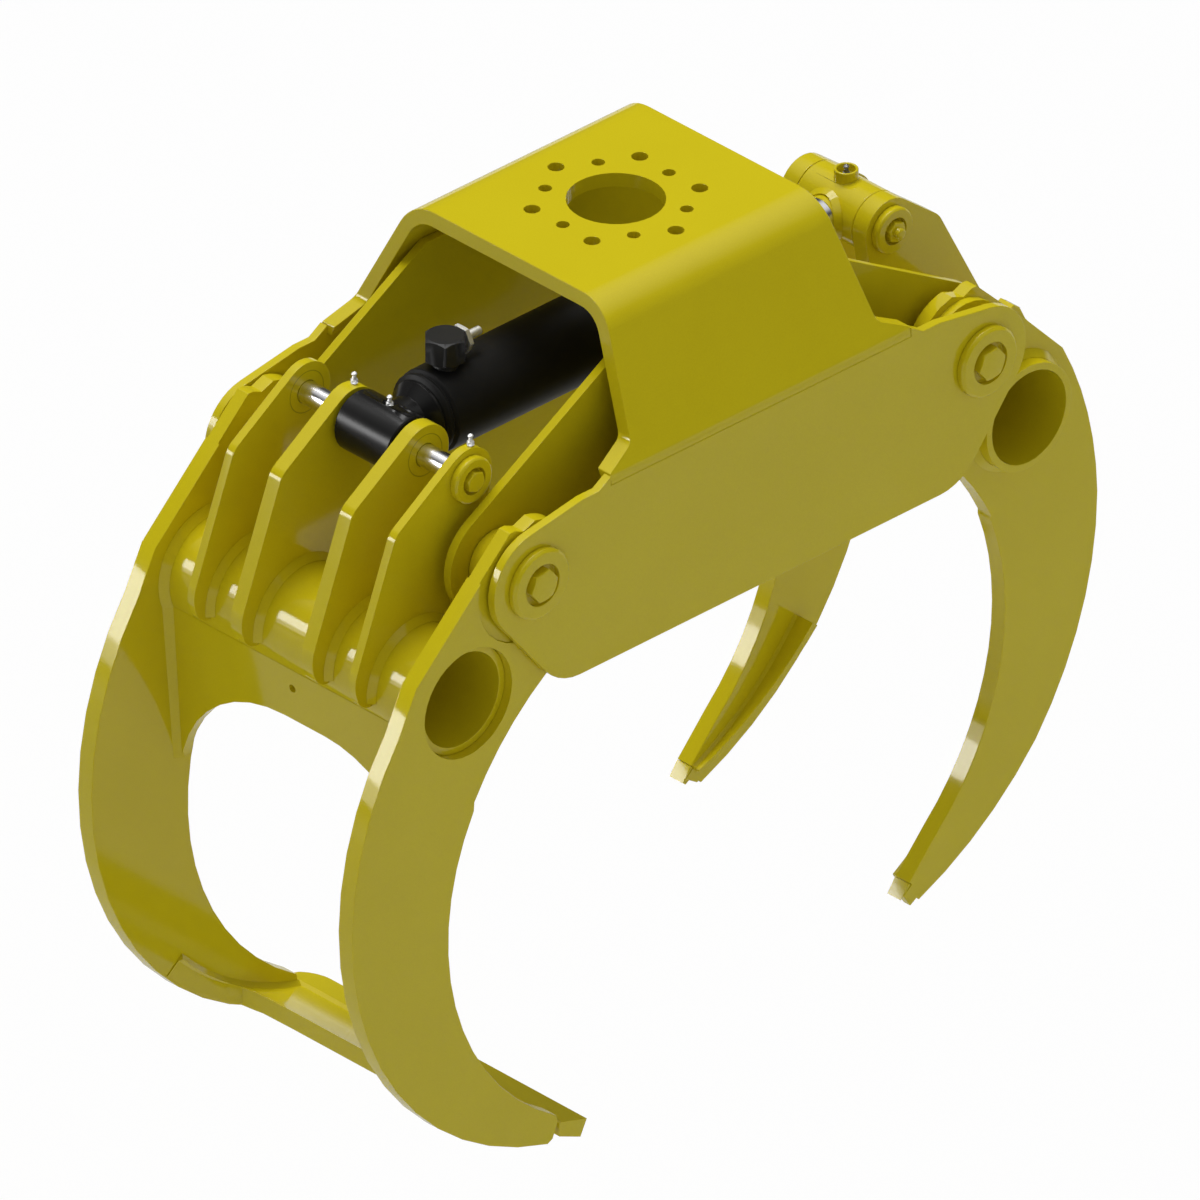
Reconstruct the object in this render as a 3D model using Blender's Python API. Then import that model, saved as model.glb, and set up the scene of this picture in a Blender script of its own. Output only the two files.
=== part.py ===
"""Log grapple: a bent top channel on two box sides, carrying two tined arms
that a cylinder lying inside the frame spreads and closes.

Metres. The origin is the centre of the top plate's upper face, +Z is up, +X
runs towards the arm on the rod side and the near side of the frame is -Y.
Side outlines are drawn as (reach, drop): reach is the distance from the middle
of the frame along X, and drop is the depth below the top face. Outlines run
clockwise as seen with reach to the right and drop downwards.
"""
import math

import bmesh
import bpy
from mathutils import Matrix, Vector

# Fits
SEAT = 0.0003
RUN = 0.0008
EDGE_BREAK = 0.0006

# Top channel
CHANNEL_T = 0.016
TOP_HALF_LENGTH = 0.1505
TOP_HALF_WIDTH = 0.138
SPLAY = 0.48
BEND_R = 0.048
LIP_HALF_WIDTH = 0.210
LIP_BEND_R = 0.020
LIP_DROP = 0.1572
END_LEAN = 0.162
END_CORNER_DROP = 0.128
END_CORNER_R = 0.013
LIP_HALF_LENGTH = 0.2086
LIP_END_DROP = 0.1455
CENTRE_BORE_R = 0.0505
BOLT_RINGS = ((0.0865, 0.00875, 30.0), (0.07375, 0.007, 0.0))
BOLTS_PER_RING = 6

# Side plates
SIDE_T = 0.010
OUTER_FACE_Y = 0.210
INNER_PLATE_Y = 0.1365
SIDE_BOTTOM = 0.360
SIDE_BOTTOM_REACH = 0.280
SIDE_BOTTOM_R = 0.060
SHOULDER_RISE = 0.0105
SHOULDER_END = 0.226
CHEEK_START = 0.248
INNER_BOTTOM = 0.388
INNER_BOTTOM_REACH = 0.2413
INNER_BOTTOM_R = 0.025
INNER_TOP_REACH = 0.132
CHEEK_R = 0.0585
BOX_WEB_REACH = 0.150
BOX_WEB_T = 0.010
BOX_WEB_TOP = 0.172
BOX_WEB_BOTTOM = 0.355

# Arm pivots
PIVOT = (0.312, 0.227)
PIVOT_PIN_R = 0.025
BUSH_R = 0.034
CAP_R = 0.039
CAP_T = 0.0087
CAP_CHAMFER = 0.003
CAP_RECESS_R = 0.023
CAP_FLOOR = 0.002
BOLT_FLATS = 0.032
BOLT_PROUD = 0.004
BOLT_TURN = 9.0
BOLT_LIP = 0.0012
EAR_R = 0.0625
EAR_T = 0.016
EAR_RELIEF_R = 0.070
EAR_NOTCH = ((0.302, 0.1652), (0.318, 0.1714), (0.3295, 0.1663), (0.3365, 0.1662))

# Torsion tubes
TUBE = (0.396, 0.338)
TUBE_R = 0.060
TUBE_BORE_R = 0.052
TUBE_HALF_LENGTH = 0.189

# Arm with the lip
TINE_T = 0.020
WIDE_TINE_Y = 0.179
WIDE_KINK = (0.468, 0.2918)
WIDE_BACK_START = (0.4915, 0.339)
WIDE_BACK_CENTRE = (0.1915, 0.550)
WIDE_BACK_END = (0.2865, 0.9015)
WIDE_TIP = ((0.2795, 0.898), (0.2725, 0.881))
WIDE_HOLLOW_CENTRE = (0.1235, 0.585)
WIDE_HOLLOW_START = (0.2745, 0.8725)
WIDE_HOLLOW_END = (0.3882, 0.467)
WIDE_THROAT_CENTRE = (0.093, 0.6215)
WIDE_THROAT_START = (0.3875, 0.457)
WIDE_THROAT_END = (0.286, 0.347)
LIP_BACK = (0.4555, 0.7985)
LIP_HEEL = (0.2795, 0.8998)
LIP_NOSE = ((0.271, 0.899), (0.241, 0.912), (0.232, 0.894), (0.268, 0.883))
LIP_INNER_HEEL = (0.273, 0.885)
LIP_INNER_BACK = (0.437, 0.784)
LIP_GROOVE_REACH = 0.2705
LIP_CORNER_R = 0.028
LIP_EDGE = ((0.376, 0.1755), (0.3576, 0.172), (0.3485, 0.151), (0.347, 0.110))

# Arm with the four points
NARROW_TINE_Y = 0.1485
NARROW_PAD_Y = 0.1573
NARROW_KNOB = ((0.3885, 0.2169), (0.3938, 0.2140), (0.402, 0.220), (0.4105, 0.237), (0.4147, 0.242))
NARROW_KINK = (0.4635, 0.293)
NARROW_BACK_CENTRE = (0.0885, 0.482)
NARROW_BACK_WIDE = (0.5137, 0.482)
NARROW_BACK_LOW = (0.4282, 0.739)
NARROW_BACK_END = (0.2635, 0.8597)
NARROW_POINT = ((0.2603, 0.8563), (0.2513, 0.8619), (0.2416, 0.8467))
NARROW_HOLLOW_CENTRE = (0.071, 0.566)
NARROW_HOLLOW_START = (0.288, 0.791)
NARROW_HOLLOW_END = (0.363, 0.454)
NARROW_THROAT_CENTRE = (0.075, 0.585)
NARROW_THROAT_START = (0.363, 0.448)
NARROW_THROAT_END = (0.286, 0.347)
PAD_OUTER_END = (0.412, 0.2399)
PAD_INNER_END = (0.350, 0.277)
COLLAR_R = 0.0545
COLLAR_BORE_R = 0.047
COLLAR_T = 0.010
TIP_TOP = (0.249, 0.834)
TIP_EDGE = (0.2374, 0.8502)
TIP_ROOT = (0.2532, 0.837)
RIB_START = (0.397, 0.716)
RIB_END = (0.253, 0.837)
RIB_T = 0.009
RIB_END_T = 0.0045
RIB_HEIGHT = 0.0245
RIB_END_HEIGHT = 0.008

# Webs under the torsion tubes
WEB_T = 0.012
WEB_TOP = (0.4525, 0.340)
WEB_BOTTOM = (0.438, 0.546)
WEB_DEPTH = 0.085
WEB_ARCH_NEAR_R = 0.135
WEB_ARCH_FAR_R = 0.165
WEB_HOLE_R = 0.0045
WEB_HOLE_DROP = 0.385

# Upper pins, lugs
UPPER_PIN = (0.3218, 0.140)
UPPER_PIN_R = 0.0125
LUG_TOP_R = 0.033
LUG_SADDLE_R = 0.072
LUG_FOOT_DROP = 0.350
WIDE_LUG_CORNER = (0.422, 0.167)
WIDE_LUG_HIP = (0.481, 0.319)
WIDE_LUG_FOOT = (0.470, 0.350)
WIDE_LUG_INNER_Y = 0.0427
WIDE_LUG_INNER_T = 0.017
WIDE_LUG_OUTER_Y = 0.1117
WIDE_LUG_OUTER_T = 0.010
NARROW_LUG_CORNER = (0.392, 0.153)
NARROW_LUG_BACK = ((0.4186, 0.203), (0.453, 0.269))
NARROW_LUG_FOOT = (0.466, 0.330)
NARROW_LUG_Y = 0.0425
NARROW_LUG_T = 0.020
PIN_CAP_R = 0.0255
PIN_CAP_T = 0.009
PIN_HEAD_R = 0.021
PIN_HEAD_T = 0.005
PIN_CAP_RECESS_R = 0.015
PIN_CAP_FLOOR = 0.002
PIN_BOLT_FLATS = 0.021
PIN_BOLT_PROUD = 0.0032
PIN_BOLT_TURN = -19.0
PIN_STUD_R = 0.006
PIN_STUD_RISE = 0.006

# Cylinder and rod
EYE_R = 0.033
EYE_HALF_LENGTH = 0.0385
NECK_R = 0.027
NECK_FLARE_R = 0.038
BARREL_R = 0.045
BARREL_BORE_R = 0.0375
BARREL_START = 0.050
BARREL_END = 0.444
BARREL_FLOOR = 0.025
GLAND_FLANGE = 0.006
GLAND_DEPTH = 0.030
ROD_R = 0.0225
PISTON_T = 0.040
PISTON_FROM_PIN = 0.340
PISTON_SPIGOT_R = 0.016
ROD_EYE_HALF_LENGTH = 0.042
ROD_NECK_R = 0.028
ROD_NECK_LENGTH = 0.058
ROD_SOCKET = 0.022
GREASE_CUP_R = 0.0125
GREASE_CUP_BORE_R = 0.0095
GREASE_CUP_RISE = 0.0108
PORT_FROM_PIN = 0.085
PORT_BLOCK_FLATS = 0.040
PORT_BLOCK_HEIGHT = 0.040
PORT_STEM_R = 0.013
PORT_STEM_RISE = 0.006
PORT_NUT_FLATS = 0.019
PORT_NUT_T = 0.007
PORT_TAIL_R = 0.0055
PORT_TAIL_LENGTH = 0.009
NIPPLE_R = 0.0042
NIPPLE_HEIGHT = 0.012
NIPPLE_LEAD = 0.008
SINK_R = 0.009
SINK_DEPTH = 0.004

# Paint and metal: base colour, roughness, metallic
YELLOW = ((0.44, 0.37, 0.012), 0.45, 0.0)
BLACK = ((0.012, 0.012, 0.012), 0.35, 0.0)
CHROME = ((0.62, 0.62, 0.64), 0.12, 1.0)
ZINC = ((0.55, 0.54, 0.52), 0.3, 1.0)

# Facets
SMALL = 8
COARSE = 12
ROUND = 20
MEDIUM = 28
FINE = 36
CORNER_STEPS = 5
WELD = 1e-5


def polar(centre, radius, angle):
    return (centre[0] + radius * math.cos(angle), centre[1] + radius * math.sin(angle))


def arc(centre, start, end, turn, steps):
    """Points from start to end about centre; turn is +1 clockwise, -1 back."""
    first = math.atan2(start[1] - centre[1], start[0] - centre[0])
    last = math.atan2(end[1] - centre[1], end[0] - centre[0])
    sweep = (last - first) % math.tau
    if turn < 0:
        sweep -= math.tau
    near = math.dist(start, centre)
    far = math.dist(end, centre)
    shares = [i / steps for i in range(steps + 1)]
    return [polar(centre, near + (far - near) * t, first + sweep * t) for t in shares]


def belt(first, first_r, second, second_r):
    """The straight run of a clockwise belt from one circle to the next."""
    along = math.atan2(second[1] - first[1], second[0] - first[0])
    lean = math.acos((first_r - second_r) / math.dist(first, second))
    return polar(first, first_r, along - lean), polar(second, second_r, along - lean)


def rounded(corners, steps=CORNER_STEPS):
    """A closed outline; a corner given as (u, v, radius) becomes an arc."""
    outline = []
    for i, corner in enumerate(corners):
        here = Vector(corner[:2])
        if len(corner) < 3:
            outline.append(tuple(here))
            continue
        back = (Vector(corners[i - 1][:2]) - here).normalized()
        ahead = (Vector(corners[(i + 1) % len(corners)][:2]) - here).normalized()
        half = back.angle(ahead) / 2
        centre = here + (back + ahead).normalized() * corner[2] / math.sin(half)
        reach = corner[2] / math.tan(half)
        start = here + back * reach
        end = here + ahead * reach
        turn = 1 if back.x * ahead.y - back.y * ahead.x < 0 else -1
        outline += arc(centre, start, end, turn, steps)
    return outline


def mirrored(half):
    """Close a right-hand half outline with its mirror image in reach."""
    return half + [(-corner[0], *corner[1:]) for corner in reversed(half)]


def towards(point, centre, distance):
    """The point moved straight towards a centre."""
    share = distance / math.dist(point, centre)
    return tuple(p + (c - p) * share for p, c in zip(point, centre))


def side_view(side=1):
    """Plane of (reach, drop) outlines, extruded along Y."""
    return Matrix(((side, 0, 0), (0, 0, 1), (0, -1, 0)))


CROSS_VIEW = Matrix(((0, 0, 1), (1, 0, 0), (0, -1, 0)))
PLAN_VIEW = Matrix(((1, 0, 0), (0, 1, 0), (0, 0, -1)))


def new_object(name, bm, finish):
    bmesh.ops.recalc_face_normals(bm, faces=bm.faces)
    mesh = bpy.data.meshes.new(name)
    bm.to_mesh(mesh)
    bm.free()
    piece = bpy.data.objects.new(name, mesh)
    bpy.context.scene.collection.objects.link(piece)
    if finish:
        colour, roughness, metallic = finish
        surface = bpy.data.materials.new(f"{name}_surface")
        surface.use_nodes = True
        shader = surface.node_tree.nodes["Principled BSDF"]
        shader.inputs["Base Color"].default_value = (*colour, 1.0)
        shader.inputs["Roughness"].default_value = roughness
        shader.inputs["Metallic"].default_value = metallic
        mesh.materials.append(surface)
    return piece


def prism(name, outline, low, high, finish=None, view=None):
    """Extrude a closed outline between two distances from its plane."""
    view = view or side_view()
    bm = bmesh.new()
    face = bm.faces.new([bm.verts.new(view @ Vector((u, v, low))) for u, v in outline])
    grown = bmesh.ops.extrude_face_region(bm, geom=[face])
    top = [item for item in grown["geom"] if isinstance(item, bmesh.types.BMVert)]
    bmesh.ops.translate(bm, verts=top, vec=view @ Vector((0, 0, high - low)))
    return new_object(name, bm, finish)


def turned(name, profile, base, axis, finish=None, steps=ROUND, phase=0.0):
    """Revolve a (radius, height) profile about an axis through base.

    A profile that starts and ends on the axis makes a solid, any other a ring.
    """
    bm = bmesh.new()
    place = Vector(axis).to_track_quat("Z", "Y").to_matrix()
    rings = []
    for radius, height in profile:
        turn = [math.tau * (i + phase) / steps for i in range(steps)]
        spots = [Vector((radius * math.cos(a), radius * math.sin(a), height)) for a in turn]
        rings.append([bm.verts.new(Vector(base) + place @ spot) for spot in spots])
    pairs = list(zip(rings, rings[1:]))
    if profile[0][0] > 0:
        pairs.append((rings[-1], rings[0]))
    for lower, upper in pairs:
        for i in range(steps):
            j = (i + 1) % steps
            bm.faces.new((lower[i], lower[j], upper[j], upper[i]))
    bmesh.ops.remove_doubles(bm, verts=bm.verts, dist=1e-6)
    return new_object(name, bm, finish)


def rod_shape(radius, low, high, chamfer=0.0):
    """Profile of a plain round bar between two heights."""
    if not chamfer:
        return [(0, low), (radius, low), (radius, high), (0, high)]
    return [(0, low), (radius - chamfer, low), (radius, low + chamfer),
            (radius, high - chamfer), (radius - chamfer, high), (0, high)]


def ring_shape(inner, outer, low, high):
    """Profile of a plain ring between two heights."""
    return [(inner, low), (outer, low), (outer, high), (inner, high)]


def combine(piece, tool, operation="DIFFERENCE"):
    """Apply a Boolean and drop its tool."""
    step = piece.modifiers.new(operation.title(), "BOOLEAN")
    step.operation = operation
    step.object = tool
    apply_modifiers(piece)
    bpy.data.objects.remove(tool)
    return piece


def apply_modifiers(piece):
    graph = bpy.context.evaluated_depsgraph_get()
    mesh = bpy.data.meshes.new_from_object(piece.evaluated_get(graph))
    bm = bmesh.new()
    bm.from_mesh(mesh)
    bmesh.ops.remove_doubles(bm, verts=bm.verts, dist=WELD)
    bmesh.ops.dissolve_degenerate(bm, edges=bm.edges, dist=WELD)
    bm.to_mesh(mesh)
    bm.free()
    piece.modifiers.clear()
    old = piece.data
    piece.data = mesh
    mesh.name = piece.name
    bpy.data.meshes.remove(old)


def break_edges(piece, width=EDGE_BREAK):
    """Chamfer every sharp edge of a plate."""
    step = piece.modifiers.new("Edge break", "BEVEL")
    step.width = width
    step.segments = 1
    step.limit_method = "ANGLE"
    step.angle_limit = math.radians(35)
    apply_modifiers(piece)
    return piece


def span(hand, inner, outer):
    """Y limits, low then high, of a slab on the near (-1) or far (+1) side."""
    return sorted((hand * inner, hand * outer))


def spot(point, side=1, y=0.0):
    """World position of a (reach, drop) point."""
    return (side * point[0], y, -point[1])


def bore(piece, point, radius, side=1, reach_y=0.30, steps=ROUND):
    """Cut a round hole along Y through the whole piece."""
    tool = turned("bore", rod_shape(radius, -reach_y, reach_y), spot(point, side), (0, 1, 0), steps=steps)
    return combine(piece, tool)


def side_inner_y(drop):
    """Half width inside the channel's splayed side at a drop."""
    return TOP_HALF_WIDTH - CHANNEL_T * math.hypot(1, SPLAY) + SPLAY * drop


def make_channel():
    """Plate bent to a hood, its ends cut on a lean and flared at the lips."""
    lip_corner = (LIP_HALF_WIDTH - TOP_HALF_WIDTH) / SPLAY
    inner_lip = LIP_HALF_WIDTH - CHANNEL_T
    inner_lip_corner = (inner_lip - side_inner_y(0)) / SPLAY
    outside = [(TOP_HALF_WIDTH, 0, BEND_R), (LIP_HALF_WIDTH, lip_corner, LIP_BEND_R),
               (LIP_HALF_WIDTH, LIP_DROP)]
    inside = [(inner_lip, LIP_DROP), (inner_lip, inner_lip_corner, LIP_BEND_R - CHANNEL_T),
              (side_inner_y(CHANNEL_T), CHANNEL_T, BEND_R - CHANNEL_T)]
    half = outside + inside
    section = rounded(outside + inside + [(-c[0], *c[1:]) for c in reversed(half)], steps=7)
    channel = prism("top_channel", section, -LIP_HALF_LENGTH, LIP_HALF_LENGTH, YELLOW, CROSS_VIEW)
    corner = TOP_HALF_LENGTH + END_LEAN * END_CORNER_DROP
    above = -0.010
    below = LIP_DROP + 0.010
    past = LIP_HALF_LENGTH + 0.010
    cut = [(TOP_HALF_LENGTH + END_LEAN * above, above), (corner, END_CORNER_DROP, END_CORNER_R),
           (LIP_HALF_LENGTH, LIP_END_DROP), (past, LIP_END_DROP), (past, above)]
    for side in (-1, 1):
        waste = prism("end_cut", rounded(cut), -LIP_HALF_WIDTH - 0.01, LIP_HALF_WIDTH + 0.01,
                      view=side_view(side))
        combine(channel, waste)
    break_edges(channel, EDGE_BREAK)
    through = rod_shape(CENTRE_BORE_R, -CHANNEL_T - 0.01, 0.01)
    combine(channel, turned("centre_bore", through, (0, 0, 0), (0, 0, 1), steps=FINE))
    for pitch_r, hole_r, offset in BOLT_RINGS:
        for i in range(BOLTS_PER_RING):
            angle = math.radians(offset + i * 360 / BOLTS_PER_RING)
            centre = (*polar((0, 0), pitch_r, angle), 0)
            hole = rod_shape(hole_r, -CHANNEL_T - 0.01, 0.01)
            combine(channel, turned("bolt_hole", hole, centre, (0, 0, 1), steps=COARSE))


def cheek(start, start_r, end, steps=14):
    """Round a side plate's end about the pivot between two straight edges."""
    entry = belt(start, start_r, PIVOT, CHEEK_R)[1]
    leave = belt(PIVOT, CHEEK_R, end, 0)[0]
    return arc(PIVOT, entry, leave, 1, steps)


def outer_plate_outline():
    top = LIP_DROP + SEAT
    shoulder = LIP_HALF_LENGTH + SEAT
    bottom = (SIDE_BOTTOM_REACH, SIDE_BOTTOM)
    half = [(shoulder, top), (shoulder, top - SHOULDER_RISE), (SHOULDER_END, top),
            (CHEEK_START, top), *cheek((CHEEK_START, top), 0, bottom),
            (*bottom, SIDE_BOTTOM_R)]
    return rounded(mirrored(half))


def inner_plate_outline():
    outer_y = INNER_PLATE_Y + SIDE_T
    top = (outer_y + SEAT - side_inner_y(0)) / SPLAY
    start = (INNER_TOP_REACH, top)
    bottom = (INNER_BOTTOM_REACH, INNER_BOTTOM)
    half = [start, *cheek(start, 0, bottom), (*bottom, INNER_BOTTOM_R)]
    return rounded(mirrored(half))


def make_sides(hand, word):
    """One box side: outer plate under the lip, inner plate, web between them."""
    low, high = span(hand, OUTER_FACE_Y - SIDE_T, OUTER_FACE_Y)
    outer = break_edges(prism(f"outer_plate_{word}", outer_plate_outline(), low, high, YELLOW))
    low, high = span(hand, INNER_PLATE_Y, INNER_PLATE_Y + SIDE_T)
    inner = prism(f"inner_plate_{word}", inner_plate_outline(), low, high, YELLOW)
    for side in (-1, 1):
        bore(outer, PIVOT, PIVOT_PIN_R + SEAT, side)
        bore(inner, PIVOT, PIVOT_PIN_R + SEAT, side)
    inside = BOX_WEB_REACH - BOX_WEB_T
    floor = BOX_WEB_BOTTOM - BOX_WEB_T
    half = [(inside, BOX_WEB_TOP), (BOX_WEB_REACH, BOX_WEB_TOP), (BOX_WEB_REACH, BOX_WEB_BOTTOM, 0.02)]
    inner_half = [(-inside, BOX_WEB_TOP), (-inside, floor, 0.01), (inside, floor, 0.01)]
    web = rounded(half + [(-c[0], *c[1:]) for c in reversed(half[1:])] + inner_half)
    low, high = span(hand, INNER_PLATE_Y + SIDE_T + SEAT, OUTER_FACE_Y - SIDE_T - SEAT)
    prism(f"box_web_{word}", web, low, high, YELLOW)


def make_pivots(side, arm, hand, word):
    """Short pin, cap and bolt of one arm pivot, all fixed to the frame."""
    name = f"{arm}_{word}"
    out = (0, hand, 0)
    centre = spot(PIVOT, side)
    pin = rod_shape(PIVOT_PIN_R, INNER_PLATE_Y, OUTER_FACE_Y)
    turned(f"pivot_pin_{name}", pin, centre, out, CHROME)
    seat = OUTER_FACE_Y + SEAT
    face = seat + CAP_T
    cap = [(0, seat), (CAP_R, seat), (CAP_R, face - CAP_CHAMFER), (CAP_R - CAP_CHAMFER, face),
           (CAP_RECESS_R, face), (CAP_RECESS_R, seat + CAP_FLOOR), (0, seat + CAP_FLOOR)]
    turned(f"pivot_cap_{name}", cap, centre, out, YELLOW, MEDIUM)
    head = hex_head(BOLT_FLATS, seat + CAP_FLOOR + SEAT, face + BOLT_PROUD)
    turned(f"pivot_bolt_{name}", head, centre, out, YELLOW, 6, BOLT_TURN / 60)


def hex_head(flats, low, high):
    """Profile of a hexagon head, turned in six steps, its face chamfered."""
    corner = flats / math.sqrt(3)
    return [(0, low), (corner, low), (corner, high - BOLT_LIP), (corner - BOLT_LIP, high), (0, high)]


def make_bush(side, arm, hand, word):
    """Bush pressed in an ear, running on the pivot pin."""
    shape = ring_shape(PIVOT_PIN_R + RUN, BUSH_R, INNER_PLATE_Y + SIDE_T + RUN,
                       OUTER_FACE_Y - SIDE_T - RUN)
    turned(f"ear_bush_{arm}_{word}", shape, spot(PIVOT, side), (0, hand, 0), YELLOW)


def ear_top(entry, inset=0.0, steps=12):
    """Ear outline from the throat over the top, with its shallow notch."""
    radius = EAR_R - inset
    touch = belt(entry, 0, PIVOT, radius)[1]
    peak, *notch = [towards(point, PIVOT, inset) for point in EAR_NOTCH]
    return [*arc(PIVOT, touch, peak, 1, steps), *notch]


def wide_tine_outline():
    back = arc(WIDE_BACK_CENTRE, WIDE_BACK_START, WIDE_BACK_END, 1, 16)
    hollow = arc(WIDE_HOLLOW_CENTRE, WIDE_HOLLOW_START, WIDE_HOLLOW_END, -1, 14)
    throat = arc(WIDE_THROAT_CENTRE, WIDE_THROAT_START, WIDE_THROAT_END, -1, 5)
    return [*ear_top(WIDE_THROAT_END), WIDE_KINK, *back, *WIDE_TIP, *hollow, *throat]


def make_wide_tine(hand, word):
    low, high = span(hand, WIDE_TINE_Y, WIDE_TINE_Y + TINE_T)
    tine = prism(f"tine_left_{word}", wide_tine_outline(), low, high, YELLOW, side_view(-1))
    break_edges(tine)
    skim = (TINE_T - EAR_T) / 2
    for start in (WIDE_TINE_Y - 0.01, WIDE_TINE_Y + TINE_T - skim):
        disc = rod_shape(EAR_RELIEF_R, start, start + 0.01 + skim)
        combine(tine, turned("relief", disc, spot(PIVOT, -1), (0, hand, 0), steps=MEDIUM))
    bore(tine, PIVOT, BUSH_R + SEAT, -1)
    bore(tine, TUBE, TUBE_R + SEAT, -1, steps=FINE)


def narrow_tine_outline():
    first = arc(NARROW_BACK_CENTRE, NARROW_KINK, NARROW_BACK_WIDE, 1, 6)
    second = arc(NARROW_BACK_CENTRE, NARROW_BACK_WIDE, NARROW_BACK_LOW, 1, 7)
    third = arc(NARROW_BACK_CENTRE, NARROW_BACK_LOW, NARROW_BACK_END, 1, 5)
    hollow = arc(NARROW_HOLLOW_CENTRE, NARROW_HOLLOW_START, NARROW_HOLLOW_END, -1, 13)
    throat = arc(NARROW_THROAT_CENTRE, NARROW_THROAT_START, NARROW_THROAT_END, -1, 5)
    return [*ear_top(NARROW_THROAT_END, 0.001), *NARROW_KNOB, *first, *second[1:], *third[1:],
            *NARROW_POINT, TIP_ROOT, TIP_TOP, *hollow, *throat]


def make_narrow_tine(hand, word):
    """Tine plate with a thinner ear pad set out beside it and a round collar."""
    low, high = span(hand, NARROW_TINE_Y, NARROW_TINE_Y + TINE_T)
    tine = prism(f"tine_right_{word}", narrow_tine_outline(), low, high, YELLOW)
    blunt = [NARROW_POINT[2], towards(NARROW_BACK_END, NARROW_BACK_CENTRE, -0.002),
             towards(NARROW_POINT[1], NARROW_BACK_CENTRE, -0.010)]
    low, high = span(hand, NARROW_TINE_Y - 0.001, NARROW_TINE_Y + TINE_T / 2)
    combine(tine, prism("blunt", blunt, low, high))
    break_edges(tine)
    relief = rod_shape(EAR_RELIEF_R, NARROW_TINE_Y - 0.01, NARROW_PAD_Y)
    combine(tine, turned("relief", relief, spot(PIVOT), (0, hand, 0), steps=MEDIUM))
    pad_outline = rounded([*ear_top(PAD_INNER_END), (*PAD_OUTER_END, 0.006), PAD_INNER_END])
    low, high = span(hand, NARROW_PAD_Y + 0.0015, NARROW_PAD_Y + EAR_T)
    combine(tine, prism("pad", pad_outline, low, high), "UNION")
    seat = NARROW_PAD_Y + EAR_T
    collar = ring_shape(COLLAR_BORE_R, COLLAR_R, seat - 0.002, seat + COLLAR_T)
    combine(tine, turned("collar", collar, spot(PIVOT), (0, hand, 0), steps=MEDIUM), "UNION")
    bore(tine, PIVOT, BUSH_R + SEAT)
    bore(tine, TUBE, TUBE_R + SEAT, steps=FINE)


def make_tip(hand, word):
    """Wear wedge let into the end of a tine on its hollow edge."""
    top = towards(TIP_TOP, TIP_EDGE, SEAT * 2)
    root = towards(towards(TIP_ROOT, TIP_EDGE, SEAT * 2), top, SEAT * 4)
    wedge = [top, root, TIP_EDGE]
    low, high = span(hand, NARROW_TINE_Y, NARROW_TINE_Y + TINE_T)
    prism(f"tip_{word}", wedge, low, high, YELLOW)


def make_rib(hand, word):
    """Curved bar on a tine's inner face, tapered towards the tip both ways."""
    steps = 10
    inner = arc(NARROW_BACK_CENTRE, RIB_START, RIB_END, 1, steps)
    bm = bmesh.new()
    rings = []
    for i, point in enumerate(inner):
        thickness = RIB_T + (RIB_END_T - RIB_T) * i / steps
        height = RIB_HEIGHT + (RIB_END_HEIGHT - RIB_HEIGHT) * i / steps
        outer = towards(point, NARROW_BACK_CENTRE, -thickness)
        low, high = span(hand, NARROW_TINE_Y - height, NARROW_TINE_Y - SEAT)
        corners = [(point, low), (outer, low), (outer, high), (point, high)]
        rings.append([bm.verts.new(spot(corner, y=y)) for corner, y in corners])
    for first, second in zip(rings, rings[1:]):
        for j in range(4):
            k = (j + 1) % 4
            bm.faces.new((first[j], first[k], second[k], second[j]))
    bm.faces.new(rings[0])
    bm.faces.new(rings[-1])
    new_object(f"rib_{word}", bm, YELLOW)


def make_tube(side, arm):
    shape = ring_shape(TUBE_BORE_R, TUBE_R, -TUBE_HALF_LENGTH, TUBE_HALF_LENGTH)
    turned(f"torsion_tube_{arm}", shape, spot(TUBE, side), (0, 1, 0), YELLOW, FINE)


def make_web(side, arm, half_width):
    """Plate under the torsion tube, arched so that it runs out along the tines."""
    lean = Vector(WEB_BOTTOM) - Vector(WEB_TOP)
    inward = Vector((-lean.y, lean.x)).normalized() * WEB_T
    inner = [tuple(Vector(point) + inward) for point in (WEB_BOTTOM, WEB_TOP)]
    reach_y = half_width - SEAT
    web = prism(f"web_{arm}", [WEB_TOP, WEB_BOTTOM, *inner], -reach_y, reach_y, YELLOW, side_view(side))
    combine(web, turned("tube", rod_shape(TUBE_R + SEAT, -0.3, 0.3), spot(TUBE, side), (0, 1, 0), steps=FINE))
    crown = TUBE[1] + WEB_DEPTH
    below = crown + WEB_ARCH_FAR_R + 0.02
    share = half_width / WIDE_TINE_Y
    arch = rounded([(-half_width, crown, WEB_ARCH_NEAR_R * share),
                    (half_width, crown, WEB_ARCH_FAR_R * share),
                    (half_width, below), (-half_width, below)], steps=10)
    low, high = span(side, TUBE[0], WEB_TOP[0] + 0.05)
    combine(web, prism("arch", arch, low, high, view=CROSS_VIEW))
    drain = rod_shape(WEB_HOLE_R, TUBE[0], WEB_TOP[0] + 0.05)
    combine(web, turned("drain", drain, (0, 0, -WEB_HOLE_DROP), (side, 0, 0), steps=COARSE))


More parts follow.
